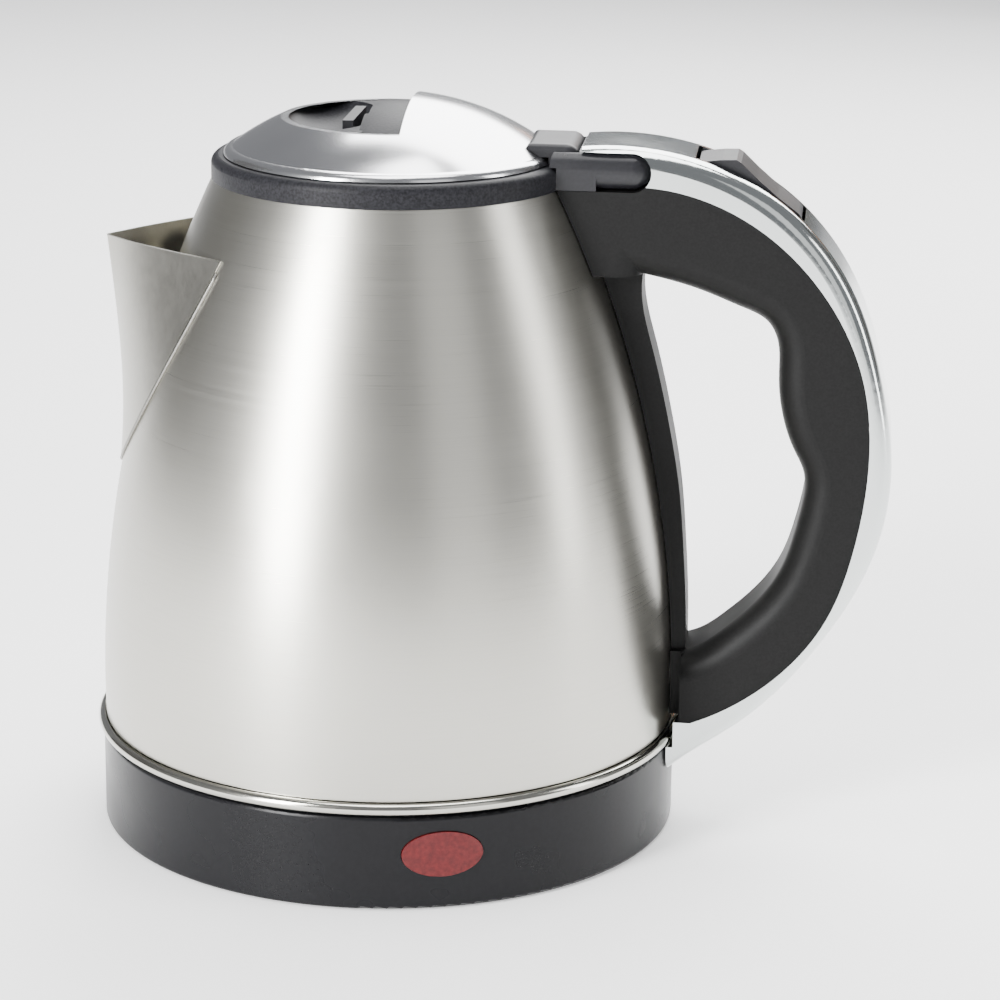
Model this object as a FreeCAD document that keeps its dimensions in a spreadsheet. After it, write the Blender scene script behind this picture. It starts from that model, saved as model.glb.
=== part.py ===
import FreeCAD, Part
import math
import os
import re

import Sketcher
from FreeCAD import Placement, Rotation, Vector

# Electric kettle, lifted off its power base: a spun steel vessel on a plastic bottom housing, with
# a hinged and latched dome lid, a hollow handle with a steam-switch rocker, and the heater,
# dry-boil control and socket under the vessel. Millimetres, +Z up. The handle is on +X, the spout
# on -X. The origin is on the vessel's axis, in the plane that the bottom rim rests on.

doc = FreeCAD.newDocument("kettle")

# ---------------------------------------------------------------------------------------------
# Driving sizes
# ---------------------------------------------------------------------------------------------
SIZES = (
    # vessel
    ("belly_radius", 77.0, "outer radius of the steel wall at its widest"),
    ("belly_level", 38.0, "height of the widest place"),
    ("wall_curve", 320.0, "radius of the wall's upright curve"),
    ("wall_bottom", 29.0, "lower edge of the steel wall"),
    ("neck_level", 174.0, "upper edge of the steel wall"),
    ("skin", 0.8, "thickness of the steel sheet"),
    ("floor_level", 36.5, "top of the heated floor"),
    ("bead_radius", 1.6, "radius of the rolled bead under the wall"),
    ("bead_level", 27.2, "height of the bead's middle"),
    ("joint_gap", 0.1, "gap between pieces that are seated or welded"),
    ("spout_reach", 21.6, "how far the spout's tip stands off the wall"),
    ("spout_angle", 44.8, "half angle of the spout's seam at the rim"),
    ("spout_foot", 0.473, "level of the spout's foot, as a share of the wall's height"),
    ("spout_top", 0.879, "level of the spout's rim, as a share of the wall's height"),
    # bottom housing
    ("housing_radius", 77.5, "outer radius of the bottom housing"),
    ("housing_height", 25.0, "height of the bottom housing"),
    ("housing_wall", 2.5, "thickness of the housing and of its plate"),
    ("shelf_reach", 19.5, "how far the housing's shelf reaches inwards"),
    ("plate_lift", 5.0, "recess under the bottom plate"),
    ("boss_ring", 64.0, "radius that the three base screws stand on"),
    ("boss_radius", 4.0, "outer radius of the screw bosses"),
    ("base_screw", 1.9, "radius of the base screws"),
    ("lens_long", 10.5, "half length of the lamp lens"),
    ("lens_high", 6.0, "half height of the lamp lens"),
    ("lens_level", 14.9, "height of the lens's middle"),
    ("lens_proud", 0.5, "how far the lens stands out of the housing"),
    ("lamp_radius", 3.0, "radius of the neon lamp"),
    # heater and control
    ("spreader_radius", 52.0, "radius of the aluminium heat spreader"),
    ("spreader_thick", 3.0, "thickness of the heat spreader"),
    ("element_ring", 40.0, "radius of the tubular element's loop"),
    ("element_radius", 3.3, "radius of the element's tube"),
    ("element_tail", 8.0, "length of the element's cold ends"),
    ("socket_bore", 16.5, "radius of the socket's mouth"),
    ("socket_wall", 3.0, "wall of the socket"),
    ("socket_mouth", 3.0, "height of the socket's mouth"),
    ("socket_depth", 6.5, "depth of the socket's clean mouth"),
    ("contact_depth", 8.5, "height of the contacts above the mouth"),
    ("flange_level", 18.0, "underside of the control's flange"),
    ("flange_radius", 33.0, "radius of the control's flange"),
    ("flange_thick", 2.5, "thickness of the control's flange"),
    ("stud_ring", 28.5, "radius that the control's screws stand on"),
    ("stud_radius", 3.0, "radius of the studs under the spreader"),
    ("control_screw", 1.5, "radius of the control's screws"),
    ("chamber_radius", 20.5, "radius of the control's switch chamber"),
    ("chamber_height", 6.0, "height of the switch chamber"),
    ("disc_radius", 9.0, "radius of the dry-boil bimetal discs"),
    ("disc_thick", 0.8, "thickness of the bimetal discs"),
    ("disc_spread", 10.0, "distance of the discs from the axis"),
    # collar and lid
    ("collar_height", 6.0, "height of the collar above the wall"),
    ("collar_bore", 39.5, "radius of the filling mouth"),
    ("collar_web", 2.5, "thickness of the collar's top web"),
    ("lid_radius", 43.7, "radius of the lid's rim"),
    ("lid_gap", 0.3, "gap between the lid's rim and the collar"),
    ("dome_inset", 2.3, "width of the lid's rolled rim"),
    ("dome_rise", 13.6, "height of the dome over its rim"),
    ("rim_height", 1.9, "height of the rolled rim"),
    ("plug_radius", 36.8, "radius of the lid's plug"),
    ("plug_depth", 10.2, "depth of the plug under the collar's top"),
    ("plug_wall", 1.6, "thickness of the plug"),
    ("seal_radius", 39.2, "outer radius of the lid seal"),
    ("seal_height", 2.2, "height of the lid seal"),
    ("recess_end", 6.0, "where the grip recess ends towards the handle"),
    ("recess_drop", 6.2, "height of the dome's top over the recess rim"),
    ("recess_floor", 5.0, "depth of the recess under its rim"),
    ("slot_start", -11.4, "front end of the latch slot"),
    ("slot_end", -4.2, "rear end of the latch slot"),
    ("slot_half", 12.0, "half width of the latch slot"),
    ("tab_thick", 2.8, "thickness of the latch tab"),
    ("bolt_half", 4.0, "half width of the latch bolt"),
    ("bolt_height", 2.6, "height of the latch bolt"),
    ("bolt_reach", 2.4, "how far the bolt reaches under the collar"),
    ("spring_radius", 2.2, "outer radius of the latch spring"),
    ("spring_wire", 0.35, "radius of the spring's wire"),
    # hinge and shoulder
    ("hinge_offset", 2.9, "hinge axis behind the lid's rim"),
    ("hinge_rise", 2.0, "hinge axis above the collar's top"),
    ("knuckle_radius", 3.6, "radius of the lid's hinge knuckle"),
    ("knuckle_half", 11.6, "half width of the knuckle"),
    ("knuckle_reach", 10.4, "how far the knuckle's saddle reaches over the dome"),
    ("strip_rise", 3.2, "top of the trim's strip above the hinge axis"),
    ("pin_radius", 1.25, "radius of the hinge pin"),
    ("pin_fit", 0.05, "running gap of pins in their holes"),
    ("move_gap", 0.5, "gap between moving pieces and their neighbours"),
    ("shoulder_half", 15.0, "half width of the shoulder and the trim"),
    ("shoulder_reach", 22.1, "how far the shoulder stands behind the wall's top edge"),
    ("lug_half", 12.0, "half width of the shoulder's lug inside the grip"),
    ("shoulder_round", 4.5, "rounding of the shoulder and the trim"),
    ("strip_thick", 1.1, "thickness of the trim's strip over the shoulder"),
    # handle
    ("grip_half", 14.5, "half width of the grip"),
    ("grip_round", 7.0, "rounding of the grip's inner edges"),
    ("grip_wall", 2.6, "wall of the grip"),
    ("trim_wall", 2.0, "wall of the trim"),
    ("spine_half", 6.5, "half width of the strip along the vessel"),
    ("foot_half", 8.2, "half width of the strip's foot around the lower bracket"),
    ("standoff", 0.3, "gap between the handle and the vessel"),
    ("lower_face", 79.7, "distance of the handle's lower end from the axis"),
    ("duct_radius", 4.0, "radius of the steam duct"),
    ("duct_level", 160.0, "height of the steam duct"),
    ("wire_radius", 1.1, "radius of the insulated wires"),
    ("wire_room", 4.5, "half width of the channel for the wires"),
    ("screw_radius", 1.5, "radius of the handle's screws"),
    ("bracket_thick", 1.2, "thickness of the welded brackets"),
    ("lower_seat", 15.0, "height of the lower bracket's seat above the housing"),
    # steam switch
    ("rocker_half", 8.6, "half width of the rocker"),
    ("rocker_pivot_x", 92.0, "pivot of the rocker, from the axis"),
    ("rocker_pivot_z", 170.0, "height of the rocker's pivot"),
)

sheet = doc.addObject("Spreadsheet::Sheet", "dims")
for row, (alias, value, note) in enumerate(SIZES, 1):
    sheet.set("A%d" % row, alias)
    sheet.set("B%d" % row, str(value))
    sheet.set("C%d" % row, note)
    sheet.setAlias("B%d" % row, alias)
doc.recompute()

ALIASES = {alias for alias, value, note in SIZES}


def formula(text):
    """Turn 'belly_radius - skin' into an expression on the spreadsheet's cells."""
    return re.sub(r"[a-z_]+", lambda word: "dims." + word[0] if word[0] in ALIASES else word[0], str(text))


def number(text):
    return float(sheet.evalExpression(formula(text)))


def wall_at(level):
    """Outer radius of the steel wall at a height, as a formula."""
    return "(belly_radius - wall_curve + sqrt(wall_curve^2 - ((%s) - belly_level)^2))" % level


# heights and radii that several pieces share
NECK = wall_at("neck_level")
COLLAR_TOP = "(neck_level + collar_height)"
RIM_LEVEL = "(neck_level + collar_height + lid_gap)"
DOME_EDGE = "(lid_radius - dome_inset)"
DOME_FOOT = "(neck_level + collar_height + lid_gap + rim_height)"
DOME_CURVE = "((%s^2 + dome_rise^2) / (2 * dome_rise))" % DOME_EDGE
DOME_TOP = "(%s + dome_rise)" % DOME_FOOT
DOME_CENTRE = "(%s - %s)" % (DOME_TOP, DOME_CURVE)
RECESS_RIM = "(%s - recess_drop)" % DOME_TOP
PLUG_BOTTOM = "(%s - plug_depth)" % COLLAR_TOP
HINGE_X = "(lid_radius + hinge_offset)"
HINGE_Z = "(%s + hinge_rise)" % COLLAR_TOP
STRIP_TOP = "(%s + strip_rise)" % HINGE_Z
SHOULDER_TOP = "(%s - strip_thick)" % STRIP_TOP
STRIP_FRONT = "(%s + knuckle_radius + 1.2 * move_gap)" % HINGE_X
FLOOR_UNDER = "(floor_level - skin)"
SPREADER_UNDER = "(floor_level - skin - spreader_thick)"
ELEMENT_LEVEL = "(floor_level - skin - spreader_thick - element_radius)"
PLATE_TOP = "(plate_lift + housing_wall)"
SHELF_UNDER = "(housing_height - housing_wall)"
HOUSING_INSIDE = "(housing_radius - housing_wall)"
FLANGE_TOP = "(flange_level + flange_thick)"
CHAMBER_TOP = "(flange_level + flange_thick + chamber_height)"

SUBPARTS = []


def keep(node, thing):
    """Give an object its node name and list it for export."""
    thing.Label = node
    SUBPARTS.append(thing)
    return thing


# ---------------------------------------------------------------------------------------------
# Builders for sketches and primitives, all bound to the spreadsheet
# ---------------------------------------------------------------------------------------------
def bind(thing, field, text):
    thing.setExpression(field, formula(text))


def place(thing, at, axis="Z"):
    """Bind an object's position, and turn its own +Z onto X, Y or Z."""
    turns = {"X": Rotation(Vector(0, 1, 0), 90), "Y": Rotation(Vector(1, 0, 0), -90), "Z": Rotation()}
    thing.Placement = Placement(Vector(), turns[axis])
    for field, text in zip("xyz", at):
        bind(thing, "Placement.Base." + field, text)
    return thing


def cylinder(name, radius, length, at, axis="Z"):
    rod = doc.addObject("Part::Cylinder", name)
    bind(rod, "Radius", radius)
    bind(rod, "Height", length)
    return place(rod, at, axis)


def box(name, low, high):
    """A block between two corners given as formulas."""
    block = doc.addObject("Part::Box", name)
    for field, start, end in zip(("Length", "Width", "Height"), low, high):
        bind(block, field, "(%s) - (%s)" % (end, start))
    return place(block, low)


def sphere(name, radius, at):
    ball = doc.addObject("Part::Sphere", name)
    bind(ball, "Radius", radius)
    return place(ball, at)


def fuse(name, things):
    joined = doc.addObject("Part::MultiFuse", name)
    joined.Shapes = list(things)
    return joined


def cut(name, base, tools):
    result = doc.addObject("Part::Cut", name)
    result.Base = base
    result.Tool = tools[0] if len(tools) == 1 else fuse(name + "_tools", tools)
    return result


def common(name, first, second):
    result = doc.addObject("Part::MultiCommon", name)
    result.Shapes = [first, second]
    return result


def group(name, things):
    """Several separate solids in one object."""
    bundle = doc.addObject("Part::Compound", name)
    bundle.Links = list(things)
    return bundle


def origin_plane(body, role):
    return next(plane for plane in body.Origin.OriginFeatures if plane.Role == role)


def outline(body, name, role, corners, arcs=None, offset=None):
    """A closed sketch through corners given as formulas.

    arcs maps the number of a side to (radius, bulge): bulge is +1 where the arc lies to the left
    of the way from this corner to the next one, and -1 where it lies to the right.
    """
    arcs = arcs or {}
    sketch = body.newObject("Sketcher::SketchObject", name)
    sketch.AttachmentSupport = (origin_plane(body, role), [""])
    sketch.MapMode = "FlatFace"
    if offset is not None:
        bind(sketch, "AttachmentOffset.Base.z", offset)
    points = [Vector(number(across), number(up), 0) for across, up in corners]
    ends = []
    for side, start in enumerate(points):
        end = points[(side + 1) % len(points)]
        if side in arcs:
            radius, bulge = arcs[side]
            chord = end - start
            reach = number(radius)
            sagitta = reach - math.sqrt(reach ** 2 - (chord.Length / 2) ** 2)
            left = Vector(-chord.y, chord.x, 0).normalize()
            middle = (start + end) * 0.5 + left * (sagitta * bulge)
            # a sketch keeps its arcs anticlockwise, so one that bulges left is drawn backwards
            turned_back = bulge > 0
            first, last = (end, start) if turned_back else (start, end)
            sketch.addGeometry(Part.Arc(first, middle, last), False)
            ends.append((2, 1) if turned_back else (1, 2))
            rule = sketch.addConstraint(Sketcher.Constraint("Radius", side, reach))
            bind(sketch, "Constraints[%d]" % rule, radius)
        else:
            sketch.addGeometry(Part.LineSegment(start, end), False)
            ends.append((1, 2))
    for side in range(len(points)):
        after = (side + 1) % len(points)
        sketch.addConstraint(Sketcher.Constraint("Coincident", side, ends[side][1], after, ends[after][0]))
    for side, (across, up) in enumerate(corners):
        tie_corner(sketch, side, ends[side][0], "DistanceX", across, -2)
        tie_corner(sketch, side, ends[side][0], "DistanceY", up, -1)
    return sketch


def tie_corner(sketch, side, end, kind, text, axis):
    """Bind one coordinate of a corner, or put the corner on the axis where it is zero."""
    if str(text) == "0":
        sketch.addConstraint(Sketcher.Constraint("PointOnObject", side, end, axis))
        return
    rule = sketch.addConstraint(Sketcher.Constraint(kind, -1, 1, side, end, number(text)))
    bind(sketch, "Constraints[%d]" % rule, text)


def turned(name, corners, arcs=None):
    """A body turned about the vessel's axis from a (radius, height) outline."""
    body = doc.addObject("PartDesign::Body", name)
    add_turn(body, name, corners, arcs)
    return body


def add_turn(body, name, corners, arcs=None):
    sketch = outline(body, name + "_profile", "XZ_Plane", corners, arcs)
    turn = body.newObject("PartDesign::Revolution", name + "_turn")
    turn.Profile = sketch
    turn.ReferenceAxis = (sketch, ["V_Axis"])
    turn.Angle = 360
    return turn


def plate(name, role, corners, thickness, arcs=None, offset=None, middle=True):
    """A body padded from an outline, to both sides of its plane unless middle is False."""
    body = doc.addObject("PartDesign::Body", name)
    sketch = outline(body, name + "_outline", role, corners, arcs, offset)
    pad = body.newObject("PartDesign::Pad", name + "_pad")
    pad.Profile = sketch
    bind(pad, "Length", thickness)
    if middle:
        pad.SideType = "Symmetric"
    return body


def around(count, first, radius):
    """Positions on a ring as formulas, with their angle in degrees."""
    for step in range(count):
        angle = math.radians(first + 360.0 * step / count)
        yield "%s * %.9f" % (radius, math.cos(angle)), "%s * %.9f" % (radius, math.sin(angle)), step


def solid_feature(name, shape):
    """An object whose shape is made in this code from the sheet's sizes."""
    thing = doc.addObject("Part::Feature", name)
    thing.Shape = shape
    return thing


# ---------------------------------------------------------------------------------------------
# Vessel: steel wall, spout, heated floor with the rolled bead
# ---------------------------------------------------------------------------------------------
def vessel_blank(name, extra, low, high):
    """The full space inside the wall's outer surface, grown by extra."""
    grown_low = "%s + (%s)" % (wall_at(low), extra)
    grown_high = "%s + (%s)" % (wall_at(high), extra)
    corners = [("0", low), (grown_low, low), (grown_high, high), ("0", high)]
    return turned(name, corners, {1: ("wall_curve", -1)})


def pour_holes():
    """A triangle of round holes punched in the wall behind the spout."""
    rows, pitch, radius, top = 5, 8.2, 2.9, "neck_level - 26"
    for step in range(rows):
        across = rows + 2 - step
        for hole in range(across):
            side = (hole - (across - 1) / 2.0) * pitch
            at = ("-belly_radius - 5", side, "%s - %.3f" % (top, step * pitch))
            yield cylinder("pour_hole_%d_%d" % (step, hole), radius, "belly_radius - 25", at, "X")


def make_body_shell():
    inner_low = "%s - skin" % wall_at("wall_bottom")
    inner_high = "%s - skin" % NECK
    corners = [(wall_at("wall_bottom"), "wall_bottom"), (NECK, "neck_level"),
               (inner_high, "neck_level"), (inner_low, "wall_bottom")]
    wall = turned("wall", corners, {0: ("wall_curve", -1), 2: ("wall_curve", 1)})
    steam_hole = cylinder("steam_hole", "duct_radius + joint_gap", "40",
                          (wall_at("duct_level") + " - 20", "0", "duct_level"), "X")
    keep("body_shell", cut("body_shell_cut", wall, list(pour_holes()) + [steam_hole]))


def spout_shape():
    """The beak in front of the pour holes: a sheet lofted through level sections.

    A section runs from the nose to the seam on the wall. The seam's half angle grows with the
    square root of the height, so the seam is a rounded V, and the sections change from a blunt
    arc at the foot to an almost straight V at the rim. The seam's edge stands a little proud.
    """
    base, skin = number("housing_height"), number("skin")
    span = number("neck_level") - base
    foot, top = base + number("spout_foot") * span, base + number("spout_top") * span
    flange, rim_tilt = 0.6, 2.8

    def section(share, inset, lift=0.0):
        level = foot + (top - foot) * share
        wall = number(wall_at(level))
        angle = math.radians(number("spout_angle")) * math.sqrt(share)
        nose = wall + flange + (number("spout_reach") - flange) * share ** 1.5 - inset
        seam = wall + flange - inset
        half, depth = seam * math.sin(angle), nose - seam * math.cos(angle)
        power = 0.5 + 0.36 * share
        points = []
        for step in range(-5, 6):
            along = (abs(step) / 5.0) ** 2
            side = math.copysign(half * along ** power, step) if step else 0.0
            points.append(Vector(-nose + depth * along, side, level + lift))
        curve = Part.BSplineCurve()
        curve.interpolate(points)
        inside = wall - 4 - 5 * inset
        back = [Vector(-inside * math.cos(angle), sign * inside * math.sin(angle), level + lift)
                for sign in (1, -1)]
        lines = [segment(points[-1], back[0]), segment(back[0], back[1]), segment(back[1], points[0])]
        return Part.Wire([curve.toShape()] + lines)

    shares = (0.02, 0.12, 0.3, 0.5, 0.75, 1.08)
    outer = Part.makeLoft([section(share, 0.0) for share in shares], True)
    inner = Part.makeLoft([section(share, skin, -0.5) for share in (0.05,) + shares[1:]], True)
    above = Part.makeBox(200, 200, 60, Vector(0, -100, 0))
    tip = number(wall_at(top)) + number("spout_reach")
    above.Placement = Placement(Vector(-tip, 0, top), Rotation(Vector(0, 1, 0), -rim_tilt))
    inner_end = Part.makeLoft([section(shares[-1], skin), section(shares[-1], skin, 2.0)], True)
    sheet_metal = outer.cut([inner, inner_end]).cut(above)
    return max(sheet_metal.Solids, key=lambda piece: piece.Volume)


def segment(start, end):
    return Part.LineSegment(start, end).toShape()


def make_spout():
    sheet_metal = solid_feature("spout_sheet", spout_shape())
    blank = vessel_blank("spout_seat", "joint_gap / 2", "housing_height + 30", "neck_level")
    keep("spout", cut("spout_cut", sheet_metal, [blank]))


def make_bottom_pan():
    rim = "(%s - skin - joint_gap)" % wall_at("wall_bottom")
    corners = [("0", FLOOR_UNDER), (rim + " - skin", FLOOR_UNDER), (rim + " - skin", "bead_level - 0.7"),
               (rim, "bead_level - 0.7"), (rim, "floor_level"), ("0", "floor_level")]
    body = turned("bottom_pan", corners)
    centre = "%s + bead_radius - 0.2" % rim
    low, high = "bead_level - bead_radius", "bead_level + bead_radius"
    add_turn(body, "bead", [(centre, low), (centre, high)],
             {0: ("bead_radius * 1.0001", 1), 1: ("bead_radius * 1.0001", 1)})
    keep("bottom_pan", body)


# ---------------------------------------------------------------------------------------------
# Heater: spreader, tubular element, terminals, studs
# ---------------------------------------------------------------------------------------------
ELEMENT_SWEEP = 310.0
ELEMENT_START = 115.0


def element_ends():
    for angle in (ELEMENT_START, ELEMENT_START + ELEMENT_SWEEP):
        turn = math.radians(angle)
        yield "element_ring * %.9f" % math.cos(turn), "element_ring * %.9f" % math.sin(turn)


def make_heater():
    keep("heat_spreader", cylinder("heat_spreader_disc", "spreader_radius", "spreader_thick",
                                   ("0", "0", SPREADER_UNDER)))
    loop = doc.addObject("Part::Torus", "element_loop")
    bind(loop, "Radius1", "element_ring")
    bind(loop, "Radius2", "element_radius")
    loop.Angle3 = ELEMENT_SWEEP
    loop.Placement = Placement(Vector(), Rotation(Vector(0, 0, 1), ELEMENT_START))
    bind(loop, "Placement.Base.z", ELEMENT_LEVEL)
    pieces = [loop]
    pins = []
    for number_of, (x, y) in enumerate(element_ends()):
        pieces.append(sphere("element_elbow_%d" % number_of, "element_radius", (x, y, ELEMENT_LEVEL)))
        foot = "%s - element_tail" % ELEMENT_LEVEL
        pieces.append(cylinder("element_tail_%d" % number_of, "element_radius", "element_tail",
                               (x, y, foot)))
        pins.append(cylinder("terminal_pin_%d" % number_of, "1.2", "7", (x, y, foot + " - 7")))
    keep("heating_element", fuse("heating_element_tube", pieces))
    keep("element_terminals", group("element_terminal_pins", pins))


def screw(name, radius, x, y, seat, top, head=2.0, head_height=2.0):
    """A screw driven upwards: its head hangs under the seat."""
    shank = cylinder(name + "_shank", radius, "(%s) - (%s)" % (top, seat), (x, y, seat))
    cap = cylinder(name + "_head", "%s * %s" % (radius, head), head_height,
                   (x, y, "(%s) - %s" % (seat, head_height)))
    return fuse(name, [shank, cap])


def sleeve(name, outer, inner, low, high, x, y):
    """A tube standing up between two heights."""
    body = cylinder(name + "_outside", outer, "(%s) - (%s)" % (high, low), (x, y, low))
    bore = cylinder(name + "_bore", inner, "(%s) - (%s) + 2" % (high, low), (x, y, "(%s) - 1" % low))
    return cut(name, body, [bore])


# ---------------------------------------------------------------------------------------------
# Control: socket, contacts, chamber, dry-boil discs, and what holds it
# ---------------------------------------------------------------------------------------------
STUD_ANGLE = 90.0
BOSS_ANGLE = 30.0


def make_control():
    inside = "socket_bore - 2"
    wall = "socket_bore + socket_wall"
    step = "socket_mouth + socket_depth"
    corners = [("socket_bore", "socket_mouth"), (wall, "socket_mouth"), (wall, "flange_level"),
               ("flange_radius", "flange_level"), ("flange_radius", FLANGE_TOP),
               ("chamber_radius", FLANGE_TOP),
               ("chamber_radius", CHAMBER_TOP), ("chamber_radius - 2", CHAMBER_TOP),
               ("chamber_radius - 2", FLANGE_TOP), ("0", FLANGE_TOP), ("0", "flange_level"),
               (inside, "flange_level"), (inside, step), ("socket_bore", step)]
    blank = turned("control_blank", corners)
    holes = []
    for x, y, step_number in around(3, STUD_ANGLE, "stud_ring"):
        holes.append(cylinder("flange_hole_%d" % step_number, "control_screw + 0.1", "10",
                              (x, y, "flange_level - 2")))
    for name, x, radius in (("centre", "0", "2.3"), ("middle", "6.5", "1.0"), ("outer", "-11.5", "1.0")):
        holes.append(cylinder(name + "_contact_hole", radius, "flange_thick + 2",
                              (x, "0", "flange_level - 1")))
    keep("control_body", cut("control_body_cut", blank, holes))

    contact_low = "socket_mouth + contact_depth"
    contact_top = "%s + 2.5" % FLANGE_TOP
    centre = cylinder("centre_pin", "2.2", "%s - (%s)" % (contact_top, contact_low), ("0", "0", contact_low))
    keep("centre_contact", centre)
    for node, inner, outer, post_x in (("neutral_ring", "6.0", "7.0", "6.5"),
                                       ("earth_ring", "11.0", "12.0", "-11.5")):
        ring = sleeve(node + "_tube", outer, inner, contact_low, "flange_level", "0", "0")
        post_low = "flange_level - 1"
        post = cylinder(node + "_post", "0.95", "%s - (%s)" % (contact_top, post_low),
                        (post_x, "0", post_low))
        keep(node, fuse(node + "_contact", [ring, post]))
    leaves = [box("leaf_%d" % side, (low, "-2", contact_top), (high, "2", contact_top + " + 0.6"))
              for side, (low, high) in enumerate((("4.5", "16"), ("-16", "-9.5")))]
    keep("contact_leaves", group("contact_leaf_pair", leaves))

    cover_top = "%s + 1.5" % CHAMBER_TOP
    disc_under = "%s - disc_thick - 0.3" % SPREADER_UNDER
    lid_plate = cylinder("control_cover_plate", "chamber_radius", "1.5", ("0", "0", CHAMBER_TOP))
    posts = [cylinder("disc_post_%d" % side, "3.5", "(%s) - (%s)" % (disc_under, cover_top),
                      (x, "0", cover_top)) for side, x in enumerate(("disc_spread", "-disc_spread"))]
    keep("control_cover", fuse("control_cover_fused", [lid_plate] + posts))
    discs = [cylinder("dry_boil_disc_%d" % side, "disc_radius", "disc_thick", (x, "0", disc_under))
             for side, x in enumerate(("disc_spread", "-disc_spread"))]
    keep("dry_boil_discs", group("dry_boil_disc_pair", discs))

    studs = []
    screws = []
    for x, y, step_number in around(3, STUD_ANGLE, "stud_ring"):
        studs.append(sleeve("stud_%d" % step_number, "stud_radius", "control_screw + 0.05", FLANGE_TOP,
                            SPREADER_UNDER, x, y))
        screws.append(screw("control_screw_%d" % step_number, "control_screw", x, y, "flange_level",
                            FLANGE_TOP + " + 9"))
    keep("control_studs", group("control_stud_set", studs))
    keep("control_screws", group("control_screw_set", screws))


# ---------------------------------------------------------------------------------------------
# Bottom housing: skirt with shelf, plate, screws, lamp
# ---------------------------------------------------------------------------------------------
LENS_ANGLE = -72.0


def lens_prism(name, grow, start, end):
    """An upright oval bar through the housing's wall at the lens."""
    oval = doc.addObject("Part::Ellipse", name + "_oval")
    bind(oval, "MajorRadius", "lens_long + (%s)" % grow)
    bind(oval, "MinorRadius", "lens_high + (%s)" % grow)
    turn = math.radians(LENS_ANGLE)
    out = Vector(math.cos(turn), math.sin(turn), 0)
    along = Vector(-out.y, out.x, 0)
    oval.Placement = Placement(Vector(), Rotation(along, Vector(0, 0, 1), out, "ZXY"))
    for field, text in zip("xyz",
                           ("(%s) * %.9f" % (start, out.x), "(%s) * %.9f" % (start, out.y), "lens_level")):
        bind(oval, "Placement.Base." + field, text)
    bar = doc.addObject("Part::Extrusion", name)
    bar.Base = oval
    bar.DirMode = "Custom"
    bar.Dir = out
    bind(bar, "LengthFwd", "(%s) - (%s)" % (end, start))
    bar.Solid = True
    return bar


def make_housing():
    shelf = "housing_radius - shelf_reach"
    corners = [(HOUSING_INSIDE, "0"), ("housing_radius - 1", "0"), ("housing_radius", "1"),
               ("housing_radius", "housing_height - 1"), ("housing_radius - 1", "housing_height"),
               (shelf, "housing_height"), (shelf, SHELF_UNDER), (HOUSING_INSIDE, SHELF_UNDER)]
    skirt = turned("housing_skirt", corners, {1: ("1", -1), 3: ("1", -1)})
    tools = [lens_prism("lens_window", "0.15", "housing_radius - 8", "housing_radius + 8")]
    tools.append(box("wire_notch", ("housing_radius - 14", "-wire_room", SHELF_UNDER + " - 1.2"),
                     ("housing_radius + 2", "wire_room", "housing_height + 1")))
    for x, y, step in around(3, BOSS_ANGLE, "boss_ring"):
        tools.append(cylinder("shelf_hole_%d" % step, "base_screw + 0.2", "8", (x, y, SHELF_UNDER + " - 2")))
    keep("base_housing", cut("base_housing_cut", skirt, tools))

    disc = cylinder("underplate_disc", "%s - 0.3" % HOUSING_INSIDE, "housing_wall", ("0", "0", "plate_lift"))
    bosses = [cylinder("boss_%d" % step, "boss_radius", "%s - %s - joint_gap" % (SHELF_UNDER, PLATE_TOP),
                       (x, y, PLATE_TOP))
              for x, y, step in around(3, BOSS_ANGLE, "boss_ring")]
    bores = [cylinder("boss_bore_%d" % step, "base_screw + 0.2", "30", (x, y, "plate_lift - 1"))
             for x, y, step in around(3, BOSS_ANGLE, "boss_ring")]
    middle = cylinder("socket_hole", "socket_bore + socket_wall + 0.4", "20", ("0", "0", "plate_lift - 2"))
    keep("underplate", cut("underplate_cut", fuse("underplate_blank", [disc] + bosses), bores + [middle]))

    nuts = []
    screws = []
    for x, y, step in around(3, BOSS_ANGLE, "boss_ring"):
        nuts.append(sleeve("base_stud_%d" % step, "boss_radius", "base_screw + 0.05",
                           "housing_height + joint_gap",
                           FLOOR_UNDER, x, y))
        screws.append(screw("base_screw_%d" % step, "base_screw", x, y, "plate_lift", "housing_height + 7"))
    keep("base_studs", group("base_stud_set", nuts))
    keep("base_screws", group("base_screw_set", screws))


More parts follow.
